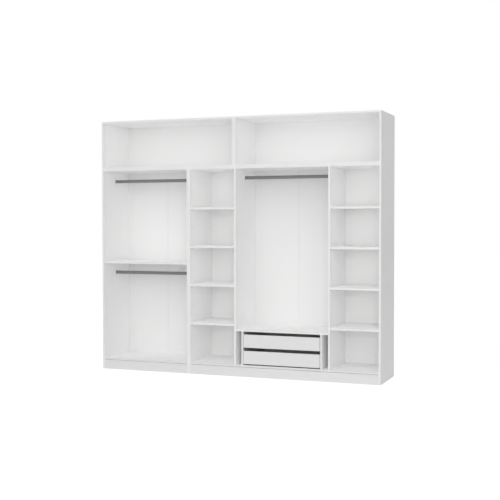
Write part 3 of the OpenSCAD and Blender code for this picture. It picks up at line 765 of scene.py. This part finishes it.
def repaint_side(piece, side, behind, finish):
    """Another finish for the flats to the left (-1) or the right (1), behind a depth."""
    cut_line(piece, Y, behind)
    piece.data.materials.append(finishes()[finish])
    for face in piece.data.polygons:
        is_side = face.normal.x * side > MOSTLY
        if is_side and face.material_index == 0 and face.center.y > behind:
            face.material_index = len(piece.data.materials) - 1


def make_back_panel(node):
    """Thin panels with a lacquered front and a raw rear."""
    piece = copy_of_node(node, f"{node}_sheet")
    low, _ = corners(piece)

    def choose(polygon):
        return "back_lacquer" if polygon.center[Y] < low[Y] + NEAR else "raw_hardboard"

    paint(piece, ["back_lacquer", "raw_hardboard"], choose)
    stand_for(piece, node)
    return piece


def upright_oval(name, place, x0, x1, width, height):
    """An upright oval bar along X from x0 to x1 with its middle at place (y, z)."""
    deselect()
    bpy.ops.mesh.primitive_cylinder_add(
        vertices=TUBE_SEGMENTS,
        radius=width / 2,
        depth=x1 - x0,
        location=((x0 + x1) / 2, *place),
        rotation=(0, radians(90), 0),
    )
    piece = bpy.context.object
    piece.name = piece.data.name = name
    bpy.ops.object.transform_apply(location=True, rotation=True, scale=True)
    bpy.ops.object.mode_set(mode="EDIT")
    for side in (-1, 1):
        bpy.ops.mesh.select_mode(type="VERT")
        bpy.ops.mesh.select_all(action="DESELECT")
        form = bmesh.from_edit_mesh(piece.data)
        for vertex in form.verts:
            vertex.select_set(side * (vertex.co.z - place[1]) > NEAR)
        form.select_flush_mode()
        bmesh.update_edit_mesh(piece.data)
        bpy.ops.transform.translate(value=(0, 0, side * (height - width) / 2))
    bpy.ops.object.mode_set(mode="OBJECT")
    return piece


def remove_ends(piece):
    """Opens a bar along X at both ends."""
    bpy.ops.object.mode_set(mode="EDIT")
    bpy.ops.mesh.select_mode(type="FACE")
    bpy.ops.mesh.select_all(action="DESELECT")
    form = bmesh.from_edit_mesh(piece.data)
    for face in form.faces:
        face.select_set(abs(face.normal.x) > MOSTLY)
    bmesh.update_edit_mesh(piece.data)
    bpy.ops.mesh.delete(type="FACE")
    bpy.ops.object.mode_set(mode="OBJECT")


def add_wall(piece, thickness):
    """Gives an open shell a wall of that thickness towards its inside."""
    activate(piece)
    wall = piece.modifiers.new("wall", "SOLIDIFY")
    wall.thickness = thickness
    wall.offset = -1
    wall.use_even_offset = True
    bpy.ops.object.modifier_apply(modifier=wall.name)


def soften(piece, radius):
    """Rounds every sharp edge of a piece."""
    activate(piece)
    edge = piece.modifiers.new("edge", "BEVEL")
    edge.width = radius
    edge.segments = CORNER_SEGMENTS
    edge.limit_method = "ANGLE"
    edge.angle_limit = SHARP_ANGLE
    bpy.ops.object.modifier_apply(modifier=edge.name)


def smooth(piece):
    """Smooth shading, with the sharp edges left sharp."""
    activate(piece)
    bpy.ops.object.shade_smooth_by_angle(angle=SMOOTH_ANGLE)


def make_hardware(node, finish, radius=0.0):
    """A small part from its CAD node, smooth where it's round, with softened edges."""
    piece = copy_of_node(node, f"{node}_finished")
    if radius:
        soften(piece, radius)
    smooth(piece)
    paint(piece, [finish], lambda polygon: finish)
    stand_for(piece, node)
    return piece


def refinish(node, finish):
    """A CAD node keeps its mesh and gets a finish."""
    thing = frame["nodes"][node]
    for slot in thing.material_slots:
        slot.material = finishes()[finish]


# Operators


class BuildUprights(bpy.types.Operator):
    """Sides and dividers of the lower units and top boxes"""

    bl_idname = "wardrobe.uprights"
    bl_label = "Sides and dividers"

    def execute(self, context):
        for node in LEFT_UNIT_UPRIGHTS + RIGHT_UNIT_UPRIGHTS + TOP_BOX_UPRIGHTS:
            make_board(node, "upright_melamine")
        return {"FINISHED"}


class BuildLevels(bpy.types.Operator):
    """Top, bottom and middle boards of the units and top boxes"""

    bl_idname = "wardrobe.levels"
    bl_label = "Tops, bottoms and the middle shelf"

    def execute(self, context):
        for node in LOWER_LEVELS + TOP_BOX_LEVELS:
            make_board(node, "level_melamine")
        for node in BOTTOMS:
            make_board(node, "level_melamine", band="unit_band")
        return {"FINISHED"}


class BuildColumnShelves(bpy.types.Operator):
    """Loose shelves of the two narrow columns"""

    bl_idname = "wardrobe.column_shelves"
    bl_label = "Column shelves"

    def execute(self, context):
        for node in COLUMN_SHELVES:
            make_board(node, "level_melamine")
        return {"FINISHED"}


class BuildPlinths(bpy.types.Operator):
    """Plinths and the braces behind them"""

    bl_idname = "wardrobe.plinths"
    bl_label = "Plinths"

    def execute(self, context):
        for node in PLINTHS:
            make_board(node, "front_melamine", band=None, level_edges="grey_foil_across")
        return {"FINISHED"}


class BuildBacks(bpy.types.Operator):
    """Back panels and the strips that join them"""

    bl_idname = "wardrobe.backs"
    bl_label = "Back panels"

    def execute(self, context):
        for node in BACK_PANELS:
            make_back_panel(node)
        refinish("back_joint_strips", "white_strip")
        return {"FINISHED"}


class BuildDrawerUnit(bpy.types.Operator):
    """Top and sides of the drawer unit"""

    bl_idname = "wardrobe.drawer_unit"
    bl_label = "Drawer unit"

    def execute(self, context):
        make_board("drawer_unit_top", "level_melamine")
        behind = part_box("upper_drawer_front")[1].y
        for node, inside in (("drawer_unit_left_side", 1), ("drawer_unit_right_side", -1)):
            piece = make_board(node, "upright_melamine", band="unit_band")
            repaint_side(piece, inside, behind, "grey_foil")
        return {"FINISHED"}


class BuildDrawers(bpy.types.Operator):
    """Fronts and boxes of the two drawers"""

    bl_idname = "wardrobe.drawers"
    bl_label = "Drawers"

    def execute(self, context):
        for drawer in DRAWERS:
            make_board(f"{drawer}_drawer_front", "front_melamine", band=None)
            for part, face in (
                ("left_side", "grey_foil"),
                ("right_side", "grey_foil"),
                ("back", "grey_foil_across"),
            ):
                make_board(f"{drawer}_drawer_{part}", face, band=None)
            make_board(f"{drawer}_drawer_base", "grey_foil", band=None)
            make_hardware(f"{drawer}_drawer_fasteners", "zinc_plating")
        return {"FINISHED"}


class BuildRunners(bpy.types.Operator):
    """Rolled steel runners of the drawers"""

    bl_idname = "wardrobe.runners"
    bl_label = "Drawer runners"

    def execute(self, context):
        sizes = context.scene.wardrobe_sizes
        nodes = ["runner_cabinet_members"]
        for drawer in DRAWERS:
            nodes += [f"{drawer}_runner_middle_members", f"{drawer}_runner_drawer_members"]
        for node in nodes:
            piece = copy_of_node(node, f"{node}_steel")

            def is_rolled_edge(edge):
                """An edge along the runner where its web turns into a flange."""
                if not is_long_corner(edge):
                    return False
                run = edge.verts[1].co - edge.verts[0].co
                flats = [face.calc_area() for face in edge.link_faces]
                lengthwise = abs(run.y) > MOSTLY * run.length
                return lengthwise and min(flats) > RUNNER_FLAT * run.length

            round_edges(piece, is_rolled_edge, sizes.steel_radius, STEEL_SEGMENTS)
            smooth(piece)
            paint(piece, ["rolled_steel"], lambda polygon: "rolled_steel")
            stand_for(piece, node)
        return {"FINISHED"}


class BuildRails(bpy.types.Operator):
    """Oval hanging rails and their sockets"""

    bl_idname = "wardrobe.rails"
    bl_label = "Hanging rails"

    def execute(self, context):
        sizes = context.scene.wardrobe_sizes
        for node in RAILS:
            low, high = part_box(node)
            place = ((low.y + high.y) / 2, (low.z + high.z) / 2)
            tube = upright_oval(
                f"{node}_tube", place, low.x, high.x, high.y - low.y, high.z - low.z
            )
            remove_ends(tube)
            add_wall(tube, sizes.rail_wall)
            smooth(tube)
            paint(tube, ["rail_coat"], lambda polygon: "rail_coat")
            stand_for(tube, node)
        make_hardware("rail_sockets", "white_coat", sizes.hardware_radius)
        return {"FINISHED"}


class FinishFasteners(bpy.types.Operator):
    """Finishes of the cam locks, bolts, dowels, screws, connectors, pins and glides"""

    bl_idname = "wardrobe.fasteners"
    bl_label = "Fasteners and glides"

    def execute(self, context):
        radius = context.scene.wardrobe_sizes.hardware_radius
        for node in ("shelf_pins", "cam_locks", "cam_bolts", "confirmat_screws", "short_screws"):
            make_hardware(node, "zinc_plating")
        make_hardware("unit_connectors", "white_coat", radius)
        make_hardware("dowels", "dowel_beech", radius)
        make_hardware("floor_glides", "dark_glide", radius)
        return {"FINISHED"}


class BuildStudio(bpy.types.Operator):
    """Pale floor, soft light and the camera"""

    bl_idname = "wardrobe.studio"
    bl_label = "Studio"

    def execute(self, context):
        studio = context.scene.wardrobe_studio
        self.make_floor(context)
        self.make_sky(context, studio)
        for name, aim in SUN_AIMS.items():
            self.make_sun(name, *aim, getattr(studio, name))
        for name, (place, turn, size) in PANELS.items():
            self.make_panel(name, place, turn, size, getattr(studio, name))
        self.fill_bays(studio)
        self.make_camera(context, studio)
        context.scene.view_settings.view_transform = "Standard"
        return {"FINISHED"}

    def make_floor(self, context):
        deselect()
        bpy.ops.mesh.primitive_grid_add(x_subdivisions=8, y_subdivisions=8, size=FLOOR_LENGTH)
        floor = context.object
        floor.name = floor.data.name = "studio_floor"
        material = bpy.data.materials.new("pale_floor")
        material.use_nodes = True
        nodes, links = material.node_tree.nodes, material.node_tree.links
        shader = nodes["Principled BSDF"]
        shader.inputs["Base Color"].default_value = (*context.scene.wardrobe_colours.floor, 1)
        shader.inputs["Roughness"].default_value = 0.8
        glow = nodes.new("ShaderNodeEmission")
        glow.inputs["Color"].default_value = (1, 1, 1, 1)
        glow.inputs["Strength"].default_value = FLOOR_GLOW
        seen = seen_rays(nodes, links)
        share = nodes.new("ShaderNodeMath")
        share.operation = "MULTIPLY"
        share.inputs[1].default_value = FLOOR_GLOW_SHARE
        links.new(seen, share.inputs[0])
        mix = nodes.new("ShaderNodeMixShader")
        links.new(share.outputs[0], mix.inputs[0])
        links.new(shader.outputs[0], mix.inputs[1])
        links.new(glow.outputs[0], mix.inputs[2])
        links.new(mix.outputs[0], nodes["Material Output"].inputs["Surface"])
        floor.data.materials.append(material)

    def make_sky(self, context, studio):
        world = context.scene.world or bpy.data.worlds.new("studio")
        context.scene.world = world
        world.use_nodes = True
        nodes, links = world.node_tree.nodes, world.node_tree.links
        light = nodes["Background"]
        light.inputs["Color"].default_value = (1, 1, 1, 1)
        light.inputs["Strength"].default_value = studio.sky
        white = nodes.new("ShaderNodeBackground")
        white.inputs["Color"].default_value = (1, 1, 1, 1)
        white.inputs["Strength"].default_value = 1.0
        mix = nodes.new("ShaderNodeMixShader")
        links.new(seen_rays(nodes, links), mix.inputs[0])
        links.new(light.outputs[0], mix.inputs[1])
        links.new(white.outputs[0], mix.inputs[2])
        links.new(mix.outputs[0], nodes["World Output"].inputs["Surface"])

    def make_sun(self, name, azimuth, elevation, spread, strength):
        """A soft sun, azimuth degrees to the right of straight in front."""
        deselect()
        aim = (radians(90 - elevation), 0, radians(azimuth))
        bpy.ops.object.light_add(type="SUN", location=SUN_PLACE, rotation=aim)
        lamp = bpy.context.object
        lamp.name = lamp.data.name = name
        lamp.data.energy = strength
        lamp.data.angle = radians(spread)

    def make_panel(self, name, place, turn, size, power, spread=radians(180)):
        """A soft rectangle of light that the camera doesn't see, by its tilt and its turn."""
        deselect()
        aim = (radians(turn[0]), 0, radians(turn[1]))
        bpy.ops.object.light_add(type="AREA", location=place, rotation=aim)
        lamp = bpy.context.object
        lamp.name = lamp.data.name = name
        lamp.data.shape = "RECTANGLE"
        lamp.data.size, lamp.data.size_y = size
        lamp.data.energy = power
        lamp.data.spread = spread
        lamp.visible_camera = False

    def fill_bays(self, studio):
        """Soft fill in the openings of the boxes, columns, hanging bays and gaps."""
        floor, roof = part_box("right_unit_bottom")[1].z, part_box("right_unit_top")[0].z
        shelf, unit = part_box("left_unit_shelf"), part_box("drawer_unit_top")
        upper, lower, wide = studio.hanging_fill
        rooms = [
            (*self.span("left_unit_shelf"), shelf[1].z, roof, upper),
            (*self.span("left_unit_shelf"), floor, shelf[0].z, lower),
            (*self.span("drawer_unit_top"), unit[1].z, roof, wide),
        ]
        for box in ("left_top_box", "right_top_box"):
            low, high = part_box(f"{box}_bottom")[1].z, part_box(f"{box}_top")[0].z
            rooms.append((*self.span(f"{box}_top"), low, high, studio.box_fill))
        for node in COLUMN_SHELVES:
            # The heights of the shelves' faces, to a tenth of a millimetre
            shelf_faces = {round(vertex.co.z, 4) for vertex in frame["nodes"][node].data.vertices}
            levels = [floor, *sorted(shelf_faces), roof]
            for low, high, strength in zip(levels[::2], levels[1::2], studio.column_fill):
                rooms.append((*self.span(node), low, high, strength))
        start, end = self.span("drawer_unit_top")
        left_side, right_side = (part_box(f"drawer_unit_{side}_side") for side in ("left", "right"))
        rooms.append((start, left_side[0].x, floor, unit[0].z, studio.gap_fill))
        rooms.append((right_side[1].x, end, floor, unit[0].z, studio.gap_fill))
        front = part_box("right_unit_bottom")[0].y + FILL_DEPTH
        for i, (x0, x1, low, high, strength) in enumerate(rooms):
            place = ((x0 + x1) / 2, front, (low + high) / 2)
            size = (FILL_SHARES[0] * (x1 - x0), FILL_SHARES[1] * (high - low))
            power = strength * size[0] * size[1]
            self.make_panel(f"bay_fill_{i}", place, (90, 0), size, power, studio.fill_spread)

    def span(self, node):
        """Where a node starts and ends along X."""
        return tuple(corner.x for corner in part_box(node))

    def make_camera(self, context, studio):
        deselect()
        bpy.ops.object.camera_add(
            location=studio.eye, rotation=(radians(90) - studio.tilt, studio.roll, studio.turn)
        )
        camera = context.object
        camera.name = camera.data.name = "eye"
        camera.data.sensor_width = SENSOR_WIDTH
        camera.data.lens = studio.lens
        camera.data.clip_end = SIGHT
        context.scene.camera = camera


def seen_rays(nodes, links):
    """1 for rays from the camera, a mirror or glass, and 0 for light."""
    path = nodes.new("ShaderNodeLightPath")
    total = path.outputs["Is Camera Ray"]
    for name in ("Is Glossy Ray", "Is Transmission Ray"):
        node = nodes.new("ShaderNodeMath")
        node.operation = "MAXIMUM"
        links.new(total, node.inputs[0])
        links.new(path.outputs[name], node.inputs[1])
        total = node.outputs[0]
    return total


OPERATORS = (
    BuildUprights,
    BuildLevels,
    BuildColumnShelves,
    BuildPlinths,
    BuildBacks,
    BuildDrawerUnit,
    BuildDrawers,
    BuildRunners,
    BuildRails,
    FinishFasteners,
    BuildStudio,
)


class WardrobePanel(bpy.types.Panel):
    """The wardrobe's build steps"""

    bl_idname = "VIEW3D_PT_wardrobe"
    bl_label = "Open wardrobe"
    bl_space_type = "VIEW_3D"
    bl_region_type = "UI"
    bl_category = "Wardrobe"

    def draw(self, context):
        for operator in OPERATORS:
            self.layout.operator(operator.bl_idname)


GROUPS = {
    "wardrobe_sizes": WardrobeSizes,
    "wardrobe_colours": WardrobeColours,
    "wardrobe_studio": WardrobeStudio,
}


def register():
    for kind in (*GROUPS.values(), *OPERATORS, WardrobePanel):
        bpy.utils.register_class(kind)
    for name, group in GROUPS.items():
        setattr(bpy.types.Scene, name, bpy.props.PointerProperty(type=group))


def unregister():
    for name in GROUPS:
        delattr(bpy.types.Scene, name)
    for kind in reversed((*GROUPS.values(), *OPERATORS, WardrobePanel)):
        bpy.utils.unregister_class(kind)


def main():
    register()
    for operator in OPERATORS:
        family, name = operator.bl_idname.split(".")
        getattr(getattr(bpy.ops, family), name)()


if __name__ == "__main__":
    main()
